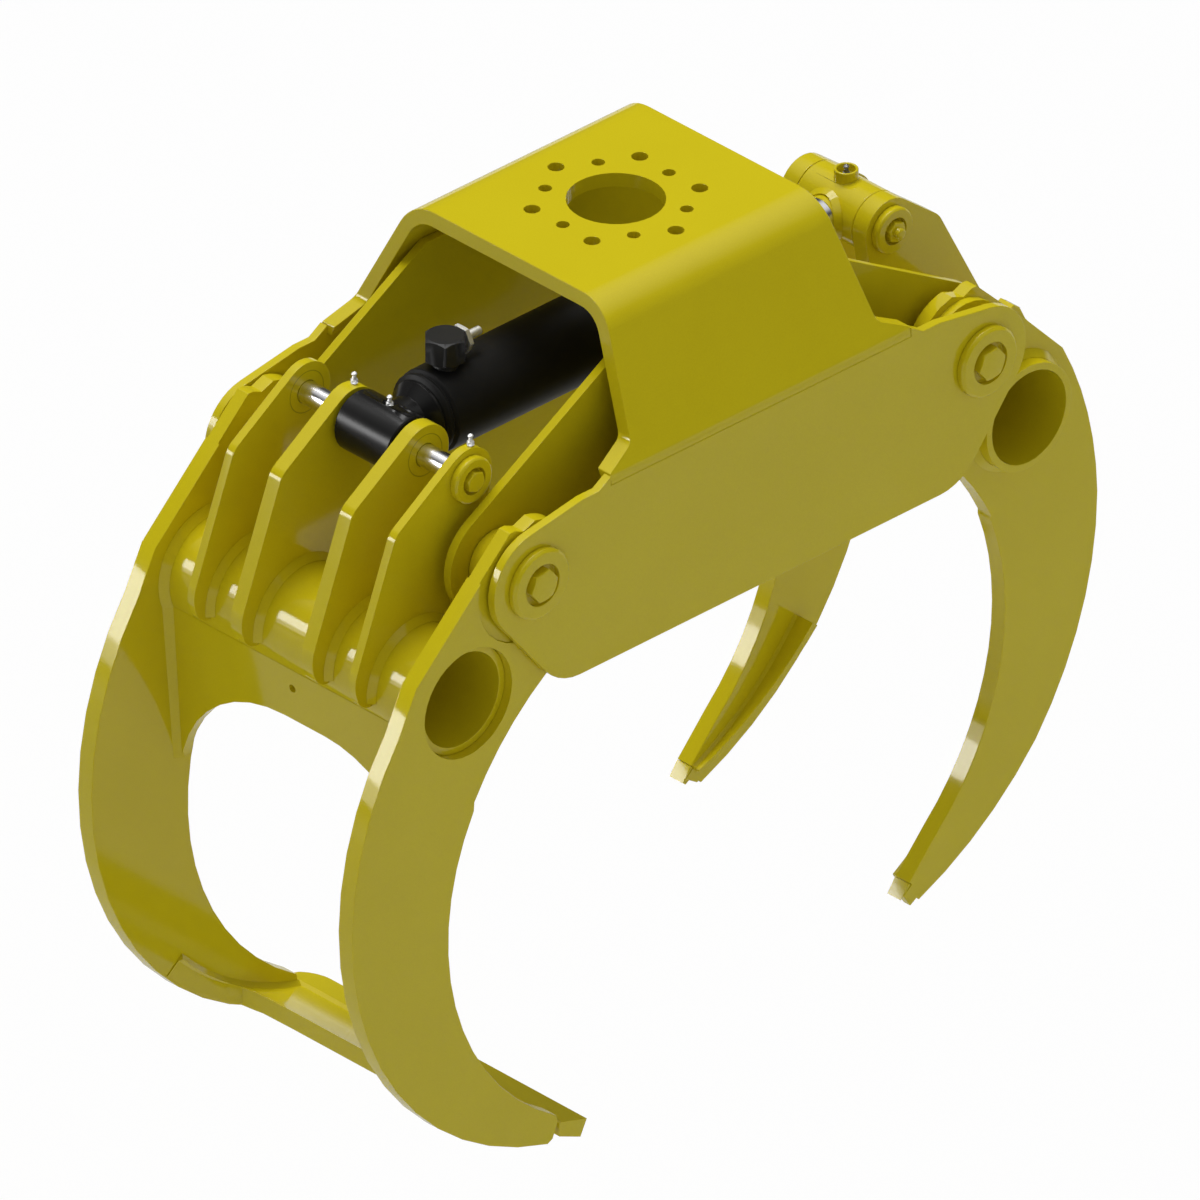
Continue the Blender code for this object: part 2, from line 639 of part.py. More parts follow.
def make_lip_plate():
    """Curved shovel plate between the wide tines, its back edge cut away in the middle."""
    outer = arc(WIDE_BACK_CENTRE, LIP_BACK, LIP_HEEL, 1, 8)
    inner = arc(WIDE_BACK_CENTRE, LIP_INNER_HEEL, LIP_INNER_BACK, -1, 8)
    profile = [*outer, *LIP_NOSE, *inner]
    half_width = WIDE_TINE_Y + TINE_T
    plate = prism("lip_plate", profile, -half_width, half_width, YELLOW, side_view(-1))
    front = -LIP_NOSE[2][0] + 0.0005
    groove = -LIP_GROOVE_REACH
    back = -LIP_BACK[0] - 0.02
    between = WIDE_TINE_Y - SEAT
    wide = half_width + 0.001
    near_edge = [(-reach, -y) for reach, y in LIP_EDGE]
    far_edge = [(-reach, y) for reach, y in reversed(LIP_EDGE)]
    plan = [(front, -wide), (groove, -wide), (groove, -between), (back, -between), *near_edge,
            *far_edge, (back, between), (groove, between), (groove, wide), (front, wide, LIP_CORNER_R)]
    cutter = prism("plan", rounded(plan), LIP_INNER_BACK[1] - 0.05, LIP_NOSE[1][1] + 0.05, view=PLAN_VIEW)
    combine(plate, cutter, "INTERSECT")
    break_edges(plate)


def lug_outline(back, foot):
    """Round top about the pin, straight back, and a foot that saddles the tube."""
    entry, leave = belt(TUBE, LUG_SADDLE_R, UPPER_PIN, LUG_TOP_R)
    over = belt(UPPER_PIN, LUG_TOP_R, back[0], 0)[0]
    inside = TUBE_R * 0.9
    return [*arc(UPPER_PIN, leave, over, 1, 12), *back, foot, (TUBE[0] + inside, foot[1]),
            (TUBE[0] - inside, LUG_FOOT_DROP), entry]


def make_lug(name, side, outline, low, high):
    lug = prism(name, outline, low, high, YELLOW, side_view(side))
    bore(lug, TUBE, TUBE_R + SEAT, side, steps=FINE)
    return bore(lug, UPPER_PIN, UPPER_PIN_R + SEAT, side)


def make_wide_lugs():
    outline = lug_outline([WIDE_LUG_CORNER, WIDE_LUG_HIP], WIDE_LUG_FOOT)
    pairs = (("inner", WIDE_LUG_INNER_Y, WIDE_LUG_INNER_T), ("outer", WIDE_LUG_OUTER_Y, WIDE_LUG_OUTER_T))
    for row, start, thickness in pairs:
        for hand, word in ((-1, "near"), (1, "far")):
            low, high = span(hand, start, start + thickness)
            make_lug(f"lug_left_{row}_{word}", -1, outline, low, high)


def make_narrow_lugs():
    outline = lug_outline([NARROW_LUG_CORNER, *NARROW_LUG_BACK], NARROW_LUG_FOOT)
    for hand, word in ((-1, "near"), (1, "far")):
        low, high = span(hand, NARROW_LUG_Y, NARROW_LUG_Y + NARROW_LUG_T)
        make_lug(f"lug_right_{word}", 1, outline, low, high)


def make_upper_pin(side, arm, lug_face):
    """Pin with its own head on the far side, a cap and a bolt on the near side.

    On the right the bolt goes through from behind, so a nut and its stud show.
    """
    centre = spot(UPPER_PIN, side)
    seat = lug_face + SEAT
    face = seat + PIN_CAP_T
    pin = [(0, -lug_face), (UPPER_PIN_R, -lug_face), (UPPER_PIN_R, seat), (PIN_HEAD_R, seat),
           (PIN_HEAD_R, seat + PIN_HEAD_T), (0, seat + PIN_HEAD_T)]
    turned(f"upper_pin_{arm}", pin, centre, (0, 1, 0), CHROME)
    cap = [(0, seat), (PIN_CAP_R, seat), (PIN_CAP_R, face - 0.002), (PIN_CAP_R - 0.002, face),
           (PIN_CAP_RECESS_R, face), (PIN_CAP_RECESS_R, seat + PIN_CAP_FLOOR), (0, seat + PIN_CAP_FLOOR)]
    turned(f"upper_cap_{arm}", cap, centre, (0, -1, 0), YELLOW)
    top = face + PIN_BOLT_PROUD
    head = hex_head(PIN_BOLT_FLATS, seat + PIN_CAP_FLOOR + SEAT, top)
    bolt = turned(f"upper_bolt_{arm}", head, centre, (0, -1, 0), YELLOW, 6, PIN_BOLT_TURN / 60)
    if arm == "right":
        stud = rod_shape(PIN_STUD_R, top - PIN_STUD_RISE, top + PIN_STUD_RISE, BOLT_LIP)
        combine(bolt, turned("stud", stud, centre, (0, -1, 0)), "UNION")


def nipple(name, base):
    """Grease nipple standing on base: hexagon foot, waist and ball head."""
    shape = [(0, 0), (NIPPLE_R, 0), (NIPPLE_R, NIPPLE_HEIGHT * 0.35), (NIPPLE_R * 0.6, NIPPLE_HEIGHT * 0.45),
             (NIPPLE_R * 0.5, NIPPLE_HEIGHT * 0.65), (NIPPLE_R * 0.8, NIPPLE_HEIGHT * 0.8),
             (NIPPLE_R * 0.4, NIPPLE_HEIGHT), (0, NIPPLE_HEIGHT)]
    turned(name, shape, base, (0, 0, 1), ZINC, SMALL)


def make_barrel_eye():
    """Eye tube on the left pin with the neck that meets the barrel."""
    centre = spot(UPPER_PIN, -1)
    eye = turned("cylinder_eye", rod_shape(EYE_R, -EYE_HALF_LENGTH, EYE_HALF_LENGTH, 0.0015), centre,
                 (0, 1, 0), BLACK, MEDIUM)
    end = BARREL_START - SEAT
    neck = [(0, 0.016), (NECK_R, 0.016), (NECK_R, EYE_R + 0.002), (NECK_FLARE_R, end - 0.003),
            (NECK_FLARE_R, end), (0, end)]
    combine(eye, turned("neck", neck, centre, (1, 0, 0), steps=ROUND), "UNION")
    bore(eye, UPPER_PIN, UPPER_PIN_R + RUN, -1)
    top = (centre[0] + NIPPLE_LEAD, 0, centre[2] + math.sqrt(EYE_R**2 - NIPPLE_LEAD**2))
    sink = [(0, -SINK_DEPTH), (NIPPLE_R + 0.001, -SINK_DEPTH), (SINK_R, 0.003), (0, 0.003)]
    combine(eye, turned("sink", sink, top, (0, 0, 1), steps=COARSE))
    nipple("nipple_eye", (top[0], 0, top[2] - SINK_DEPTH + SEAT))


def make_barrel():
    centre = spot(UPPER_PIN, -1)
    start = BARREL_START
    shape = [(0, start), (NECK_FLARE_R, start), (BARREL_R - 0.002, start + 0.003), (BARREL_R - 0.002, start + 0.007),
             (BARREL_R - 0.004, start + 0.009), (BARREL_R, start + 0.012), (BARREL_R, BARREL_END),
             (BARREL_BORE_R, BARREL_END), (BARREL_BORE_R, start + BARREL_FLOOR), (0, start + BARREL_FLOOR)]
    turned("cylinder_barrel", shape, centre, (1, 0, 0), BLACK, MEDIUM)
    base = BARREL_END + SEAT
    rod_bore = ROD_R + RUN
    gland = [(rod_bore, base - GLAND_DEPTH), (BARREL_BORE_R - SEAT, base - GLAND_DEPTH), (BARREL_BORE_R - SEAT, base),
             (BARREL_R, base), (BARREL_R, base + GLAND_FLANGE), (rod_bore, base + GLAND_FLANGE)]
    turned("cylinder_gland", gland, centre, (1, 0, 0), BLACK, MEDIUM)


def make_port():
    """Port block standing on the barrel, with a plated union facing the rod."""
    x = -UPPER_PIN[0] + PORT_FROM_PIN
    axis_z = -UPPER_PIN[1]
    barrel_top = axis_z + BARREL_R
    foot = barrel_top + SEAT
    under = foot + PORT_STEM_RISE
    over = under + PORT_BLOCK_HEIGHT
    corner = PORT_BLOCK_FLATS / math.sqrt(3)
    slope = PORT_BLOCK_HEIGHT * 0.22
    block = [(0, under), (corner * 0.72, under), (corner, under + slope), (corner, over - slope),
             (corner * 0.72, over), (0, over)]
    port = turned("port_block", block, (x, 0, 0), (0, 0, 1), BLACK, 6, 0.5)
    stem = turned("stem", rod_shape(PORT_STEM_R, axis_z, under + 0.004), (x, 0, 0), (0, 0, 1))
    saddle = turned("saddle", rod_shape(BARREL_R + SEAT, -0.05, 0.05), (x, 0, axis_z), (1, 0, 0), steps=MEDIUM)
    combine(port, combine(stem, saddle), "UNION")
    seat = PORT_BLOCK_FLATS / 2 + SEAT
    level = (x, 0, (under + over) / 2)
    nut = turned("port_union", hex_head(PORT_NUT_FLATS, seat, seat + PORT_NUT_T), level, (1, 0, 0), ZINC, 6)
    tail = rod_shape(PORT_TAIL_R, seat + PORT_NUT_T / 2, seat + PORT_NUT_T + PORT_TAIL_LENGTH, 0.001)
    combine(nut, turned("tail", tail, level, (1, 0, 0), steps=COARSE), "UNION")


def make_rod():
    """Chrome rod with its piston, and the rod eye on the right pin."""
    centre = spot(UPPER_PIN, 1)
    spigot = PISTON_FROM_PIN + PISTON_T / 2
    shoulder = PISTON_FROM_PIN - PISTON_T / 2
    socket = ROD_NECK_LENGTH - ROD_SOCKET
    shape = [(0, socket + SEAT), (ROD_R, socket + SEAT), (ROD_R, shoulder), (PISTON_SPIGOT_R, shoulder),
             (PISTON_SPIGOT_R, spigot), (0, spigot)]
    turned("rod", shape, centre, (-1, 0, 0), CHROME, MEDIUM)
    piston = ring_shape(PISTON_SPIGOT_R + SEAT, BARREL_BORE_R - RUN, shoulder + SEAT, spigot)
    turned("piston", piston, centre, (-1, 0, 0), BLACK, MEDIUM)
    eye = turned("rod_eye", rod_shape(EYE_R, -ROD_EYE_HALF_LENGTH, ROD_EYE_HALF_LENGTH, 0.001), centre,
                 (0, 1, 0), YELLOW, MEDIUM)
    neck = [(0, 0.016), (ROD_NECK_R, 0.016), (ROD_NECK_R, ROD_NECK_LENGTH - 0.003),
            (ROD_NECK_R - 0.003, ROD_NECK_LENGTH), (0, ROD_NECK_LENGTH)]
    combine(eye, turned("neck", neck, centre, (-1, 0, 0), steps=MEDIUM), "UNION")
    top = (centre[0], 0, centre[2] + EYE_R)
    cup = rod_shape(GREASE_CUP_R, -0.012, GREASE_CUP_RISE, 0.001)
    combine(eye, turned("cup", cup, top, (0, 0, 1)), "UNION")
    cup_floor = 0.002
    well = rod_shape(GREASE_CUP_BORE_R, cup_floor, GREASE_CUP_RISE + 0.002)
    combine(eye, turned("well", well, top, (0, 0, 1)))
    combine(eye, turned("socket", rod_shape(ROD_R + SEAT, socket, ROD_NECK_LENGTH + 0.01), centre,
                        (-1, 0, 0), steps=MEDIUM))
    bore(eye, UPPER_PIN, UPPER_PIN_R + RUN)
    nipple("nipple_rod_eye", (top[0], 0, top[2] + cup_floor + SEAT))


def join_to_axis(name, location, prefixes):
    """Empty on a joint's axis that carries the named pieces."""
    axis = bpy.data.objects.new(name, None)
    axis.location = location
    bpy.context.scene.collection.objects.link(axis)
    bpy.context.view_layer.update()
    for piece in list(bpy.context.scene.objects):
        if piece.type == "MESH" and piece.name.startswith(prefixes):
            piece.parent = axis
            piece.matrix_parent_inverse = axis.matrix_world.inverted()


def main():
    for old in list(bpy.data.objects):
        bpy.data.objects.remove(old)
    make_channel()
    for hand, word in ((-1, "near"), (1, "far")):
        make_sides(hand, word)
        for side, arm in ((-1, "left"), (1, "right")):
            make_pivots(side, arm, hand, word)
            make_bush(side, arm, hand, word)
        make_wide_tine(hand, word)
        make_narrow_tine(hand, word)
        make_tip(hand, word)
        make_rib(hand, word)
    make_tube(-1, "left")
    make_tube(1, "right")
    make_web(-1, "left", WIDE_TINE_Y)
    make_web(1, "right", NARROW_TINE_Y)
    make_lip_plate()
    make_wide_lugs()
    make_narrow_lugs()
    make_upper_pin(-1, "left", WIDE_LUG_OUTER_Y + WIDE_LUG_OUTER_T)
    make_upper_pin(1, "right", NARROW_LUG_Y + NARROW_LUG_T)
    crown = (-UPPER_PIN[0] + NIPPLE_LEAD, -UPPER_PIN[1] + LUG_TOP_R + SEAT)
    nipple("nipple_lug_far", (crown[0], WIDE_LUG_INNER_Y + WIDE_LUG_INNER_T / 2, crown[1]))
    nipple("nipple_lug_near", (crown[0], -WIDE_LUG_OUTER_Y - WIDE_LUG_OUTER_T / 2, crown[1]))
    make_barrel_eye()
    make_barrel()
    make_port()
    make_rod()
    for piece in bpy.context.scene.objects:
        piece.data.shade_smooth()
        piece.data.set_sharp_from_angle(angle=math.radians(32))
    join_to_axis("left_arm_axis", spot(PIVOT, -1),
                 ("ear_bush_left", "tine_left", "torsion_tube_left", "web_left", "lip_plate", "lug_left",
                  "upper_pin_left", "upper_cap_left", "upper_bolt_left", "nipple_lug"))
    join_to_axis("right_arm_axis", spot(PIVOT, 1),
                 ("ear_bush_right", "tine_right", "tip_", "rib_", "torsion_tube_right", "web_right",
                  "lug_right", "upper_pin_right", "upper_cap_right", "upper_bolt_right"))
    join_to_axis("barrel_axis", spot(UPPER_PIN, -1), ("cylinder_", "port_", "nipple_eye"))
    join_to_axis("rod_axis", spot(UPPER_PIN, 1), ("rod", "piston", "nipple_rod_eye"))


main()
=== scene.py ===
import math

import bmesh
import bpy
from mathutils import Matrix, Vector


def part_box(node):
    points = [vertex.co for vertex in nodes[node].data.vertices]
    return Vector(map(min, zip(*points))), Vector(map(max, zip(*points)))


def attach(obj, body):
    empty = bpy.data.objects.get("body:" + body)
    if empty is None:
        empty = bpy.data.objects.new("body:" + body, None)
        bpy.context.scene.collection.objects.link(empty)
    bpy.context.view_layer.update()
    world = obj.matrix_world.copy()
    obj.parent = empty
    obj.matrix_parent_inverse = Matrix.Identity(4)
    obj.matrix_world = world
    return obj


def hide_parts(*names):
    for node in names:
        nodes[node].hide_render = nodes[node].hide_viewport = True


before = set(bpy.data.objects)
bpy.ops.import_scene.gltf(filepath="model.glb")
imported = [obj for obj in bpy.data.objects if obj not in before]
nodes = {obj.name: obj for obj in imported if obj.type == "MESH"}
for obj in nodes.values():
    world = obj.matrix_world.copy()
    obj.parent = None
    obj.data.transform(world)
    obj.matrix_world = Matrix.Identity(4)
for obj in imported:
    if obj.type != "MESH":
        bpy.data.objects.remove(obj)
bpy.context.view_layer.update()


# The viewing place: the grapple hangs level in front of a long lens, turned 44
# degrees and seen from 31 degrees above, so that parallel edges stay parallel.
bpy.context.scene.view_settings.view_transform = "Standard"
LENS = 1500.0
FRAME_HALF_WIDTH = 0.6006
LOOK_BACK = Vector((-0.5946, -0.6171, 0.5156))
LOOK_RIGHT = Vector((0.7201, -0.6939, 0.0))
LOOK_UP = Vector((0.3577, 0.3713, 0.8569))
aim = LOOK_RIGHT * -0.0159 + LOOK_UP * -0.4019
lens = bpy.data.cameras.new("long_lens")
lens.lens = LENS
lens.sensor_width = 36.0
lens.clip_start = 1.0
lens.clip_end = 200.0
camera = bpy.data.objects.new("long_lens", lens)
stand_off = FRAME_HALF_WIDTH * LENS / (lens.sensor_width / 2)
place = Matrix((LOOK_RIGHT, LOOK_UP, LOOK_BACK)).transposed().to_4x4()
place.translation = aim + LOOK_BACK * stand_off
camera.matrix_world = place
bpy.context.scene.collection.objects.link(camera)
bpy.context.scene.camera = camera


# The studio: a white floor well below the hanging grapple, seen through from
# under it, a pale horizon and ceiling, a soft sun, and a strip fading downwards.
class Value:
    """A shader socket that takes part in plain arithmetic."""

    def __init__(self, tree, socket):
        self.tree = tree
        self.socket = socket

    def _math(self, operation, *terms):
        node = self.tree.nodes.new("ShaderNodeMath")
        node.operation = operation
        for slot, term in zip(node.inputs, terms):
            feed(self.tree, slot, term)
        return Value(self.tree, node.outputs[0])

    def __add__(self, other):
        return self._math("ADD", self, other)

    def __sub__(self, other):
        return self._math("SUBTRACT", self, other)

    def __mul__(self, other):
        return self._math("MULTIPLY", self, other)

    def __truediv__(self, other):
        return self._math("DIVIDE", self, other)

    def __radd__(self, other):
        return self._math("ADD", other, self)

    def __rsub__(self, other):
        return self._math("SUBTRACT", other, self)

    def __rmul__(self, other):
        return self._math("MULTIPLY", other, self)

    def __pow__(self, other):
        return self._math("POWER", self, other)

    def __abs__(self):
        return self._math("ABSOLUTE", self)

    def root(self):
        return self._math("SQRT", self)

    def clamped(self, low, high):
        return self._math("MINIMUM", self._math("MAXIMUM", self, low), high)

    def step(self, start, end):
        """0 below start and 1 above end, straight between them."""
        return ((self - start) / (end - start)).clamped(0.0, 1.0)


def feed(tree, slot, term):
    if isinstance(term, Value):
        tree.links.new(term.socket, slot)
    elif isinstance(term, bpy.types.NodeSocket):
        tree.links.new(term, slot)
    else:
        slot.default_value = term


FLOOR_DROP = 1.75
FLOOR_SIZE = 24.0
FLOOR_GREY = (0.62, 0.62, 0.61, 1.0)
FLOOR_SEEN = (0.97, 0.97, 0.97, 1.0)
FLOOR_GLOW = 0.8
floor_mesh = bpy.data.meshes.new("studio_floor")
half = FLOOR_SIZE / 2
corners = [(x, y, -FLOOR_DROP) for x, y in ((-half, -half), (half, -half), (half, half), (-half, half))]
floor_mesh.from_pydata(corners, [], [(0, 1, 2, 3)])
floor = bpy.data.objects.new("studio_floor", floor_mesh)
bpy.context.scene.collection.objects.link(floor)
white = bpy.data.materials.new("floor_white")
white.use_nodes = True
tree = white.node_tree
shade = tree.nodes.new("ShaderNodeMix")
shade.data_type = "RGBA"
shade.inputs[6].default_value = FLOOR_GREY
shade.inputs[7].default_value = FLOOR_SEEN
tree.nodes["Principled BSDF"].inputs["Roughness"].default_value = 0.9
glow = tree.nodes.new("ShaderNodeEmission")
glow.inputs["Strength"].default_value = 1.0
rays = tree.nodes.new("ShaderNodeLightPath")
mix = tree.nodes.new("ShaderNodeMixShader")
seen = Value(tree, rays.outputs["Is Camera Ray"])
feed(tree, shade.inputs["Factor"], seen)
tree.links.new(shade.outputs[2], tree.nodes["Principled BSDF"].inputs["Base Color"])
feed(tree, mix.inputs[0], seen * FLOOR_GLOW)
tree.links.new(tree.nodes["Principled BSDF"].outputs[0], mix.inputs[1])
tree.links.new(glow.outputs[0], mix.inputs[2])
under = tree.nodes.new("ShaderNodeNewGeometry")
clear = tree.nodes.new("ShaderNodeBsdfTransparent")
sides = tree.nodes.new("ShaderNodeMixShader")
tree.links.new(under.outputs["Backfacing"], sides.inputs[0])
tree.links.new(mix.outputs[0], sides.inputs[1])
tree.links.new(clear.outputs[0], sides.inputs[2])
tree.links.new(sides.outputs[0], tree.nodes["Material Output"].inputs[0])
floor_mesh.materials.append(white)

world = bpy.data.worlds.new("studio_air")
bpy.context.scene.world = world
world.use_nodes = True
tree = world.node_tree
tree.nodes.clear()
rays = tree.nodes.new("ShaderNodeLightPath")
way = tree.nodes.new("ShaderNodeTexCoord")
parts = tree.nodes.new("ShaderNodeSeparateXYZ")
tree.links.new(way.outputs["Generated"], parts.inputs[0])
height = Value(tree, parts.outputs[2])
glossy = Value(tree, rays.outputs["Is Glossy Ray"])
direct = Value(tree, rays.outputs["Is Camera Ray"])
AMBIENT = 0.38
MIRRORED_WALL = 0.05
MIRRORED_CEILING = 0.90
MIRRORED_HORIZON = 0.9
mirrored = MIRRORED_HORIZON - (MIRRORED_HORIZON - MIRRORED_WALL) * height.step(-0.06, 0.06)
mirrored = mirrored + (MIRRORED_CEILING - MIRRORED_WALL) * height.step(0.58, 0.80)
strength = direct + (1 - direct) * (glossy * mirrored + (1 - glossy) * AMBIENT)
air = tree.nodes.new("ShaderNodeBackground")
air.inputs["Color"].default_value = (1.0, 1.0, 1.0, 1.0)
feed(tree, air.inputs["Strength"], strength)
out = tree.nodes.new("ShaderNodeOutputWorld")
tree.links.new(air.outputs[0], out.inputs[0])


LIT_CENTRE = Vector((0, 0, -0.45))


def lamp(name, kind, toward, energy, distance=4.0, **settings):
    """A lamp that shines at the grapple from the given direction."""
    data = bpy.data.lights.new(name, kind)
    data.energy = energy
    for key, setting in settings.items():
        setattr(data, key, setting)
    made = bpy.data.objects.new(name, data)
    direction = Vector(toward).normalized()
    made.location = LIT_CENTRE + direction * distance
    made.rotation_euler = direction.to_track_quat("Z", "Y").to_euler()
    bpy.context.scene.collection.objects.link(made)
    return made


lamp("overhead", "SUN", (0.10, 0.27, 0.87), 1.95, angle=math.radians(35))
STRIP_WIDTH = 5.0
STRIP_AWAY = 6.0
STRIP_BANDS = ((0.275, 1.26, 240), (0.120, 0.60, 34))
for lift, tall, energy in STRIP_BANDS:
    strip = lamp("low_strip", "AREA", (-0.741, 0.617, lift), energy, STRIP_AWAY,
                 shape="RECTANGLE", size=STRIP_WIDTH, size_y=tall)
    strip.visible_diffuse = False


# Top channel: one 16 mm plate bent to a hood, painted yellow inside and out,
# with a bored centre and two rings of bolt holes for the rotator's flange.
class Finish:
    """A material in the making: one surface shader and the nodes that vary it."""

    def __init__(self, name):
        self.material = bpy.data.materials.new(name)
        self.material.use_nodes = True
        self.tree = self.material.node_tree
        self.surface = self.tree.nodes["Principled BSDF"]
        self.here = self.node("ShaderNodeTexCoord", out="Object")

    def node(self, kind, settings=None, sockets=None, out=0):
        """A node with its settings made first, then its sockets set or linked."""
        node = self.tree.nodes.new(kind)
        for key, setting in (settings or {}).items():
            setattr(node, key, setting)
        for key, term in (sockets or {}).items():
            feed(self.tree, node.inputs[key], term)
        return Value(self.tree, node.outputs[out])

    def noise(self, scale, detail, where=None):
        sockets = {"Vector": where or self.here, "Scale": scale, "Detail": detail}
        return self.node("ShaderNodeTexNoise", None, sockets)

    def stretched(self, x, y, z):
        """Object coordinates scaled along each axis, for brushed or turned lines."""
        return self.node("ShaderNodeMapping", None, {"Vector": self.here, "Scale": (x, y, z)})

    def axes(self):
        parts = self.tree.nodes.new("ShaderNodeSeparateXYZ")
        feed(self.tree, parts.inputs[0], self.here)
        return [Value(self.tree, part) for part in parts.outputs]

    def blend(self, share, first, second):
        sockets = {"Factor": share, 6: first, 7: second}
        return self.node("ShaderNodeMix", {"data_type": "RGBA"}, sockets, out=2)

    def relief(self, height, distance, strength):
        sockets = {"Height": height, "Distance": distance, "Strength": strength}
        return self.node("ShaderNodeBump", None, sockets)

    def set(self, **values):
        for key, term in values.items():
            feed(self.tree, self.surface.inputs[key.replace("_", " ")], term)
        return self.material


YELLOW = (0.70, 0.585, 0.0100, 1.0)
YELLOW_DEEP = (0.655, 0.535, 0.0085, 1.0)


def yellow_paint(name, rings=(), line_r=0.023, relief=0.00005, painted_shade=1.0, shine=1.42):
    """Yellow enamel with faint orange peel; rings are bush seams (x, z), and a factor below 1 darkens both
    yellows as painted shade.
    """
    made = Finish(name)
    grain = made.noise(760.0, 1.0)
    cloud = made.noise(9.0, 3.0)
    peel = made.noise(240.0, 2.0)
    # Both yellows are scaled by the factor; below 1 this is painted shade.
    low, high = [(r * painted_shade, g * painted_shade, b * painted_shade, 1.0) for r, g, b, _ in (YELLOW_DEEP, YELLOW)]
    colour = made.blend((grain * 0.62 + cloud * 0.38).step(0.30, 0.70), low, high)
    height = peel * 0.5 + made.noise(70.0, 1.0) * 0.5
    if rings:
        x, _, z = made.axes()
        seam = None
        for ring_x, ring_z in rings:
            reach = ((x - ring_x) ** 2.0 + (z - ring_z) ** 2.0).root()
            line = 1 - abs(reach - line_r).step(0.00025, 0.0008)
            seam = line if seam is None else seam + line
        colour = made.blend(seam * 0.62, colour, (0.18, 0.15, 0.004, 1.0))
        height = height - seam * 0.8
    normal = made.relief(height, relief, 0.35)
    return made.set(Base_Color=colour, Roughness=0.06 + 0.05 * cloud, IOR=shine, Normal=normal)


paint = yellow_paint("yellow_enamel")


def link(name, mesh):
    piece = bpy.data.objects.new(name, mesh)
    bpy.context.scene.collection.objects.link(piece)
    return piece


def settle(piece):
    """The piece with its modifiers made into plain mesh."""
    graph = bpy.context.evaluated_depsgraph_get()
    shaped = piece.evaluated_get(graph)
    mesh = bpy.data.meshes.new_from_object(shaped, preserve_all_data_layers=True, depsgraph=graph)
    piece.modifiers.clear()
    piece.data = mesh
    mesh.name = piece.name
    return piece


def finished(piece, node, body, material, width=0.0006, segments=2, slot="yellow_paint", angle=32):
    """Round a piece's edges, keep its flats flat, and put it in place of a solid."""
    piece.data.materials.clear()
    piece.data.materials.append(material)
    edge = piece.modifiers.new("Edge", "BEVEL")
    edge.width = width
    edge.segments = segments
    edge.limit_method = "ANGLE"
    edge.angle_limit = math.radians(angle)
    edge.use_clamp_overlap = True
    piece.data.shade_smooth()
    flat = piece.modifiers.new("Flats", "WEIGHTED_NORMAL")
    flat.keep_sharp = True
    flat.weight = 80
    settle(piece)
    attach(piece, body)
    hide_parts(node)
    return piece


def dressed(node, name, body, material, *looks, soften=(), **more):
    """A finished copy of a solid; soften lists (x, z, width) of upright corners to round."""
    bm = bmesh.new()
    bm.from_mesh(nodes[node].data)
    bmesh.ops.remove_doubles(bm, verts=bm.verts, dist=2e-6)
    bmesh.ops.dissolve_limit(bm, angle_limit=math.radians(0.6), verts=bm.verts, edges=bm.edges)
    for x, z, width in soften:
        corner = [e for e in bm.edges if all(math.hypot(v.co.x - x, v.co.z - z) < 0.001 for v in e.verts)]
        bmesh.ops.bevel(bm, geom=corner, offset=width, segments=6, profile=0.5, affect="EDGES")
    mesh = bpy.data.meshes.new(name)
    bm.to_mesh(mesh)
    bm.free()
    return finished(link(name, mesh), node, body, material, *looks, **more)


dressed("top_channel", "bent_hood", "frame", paint, 0.0006, 1)


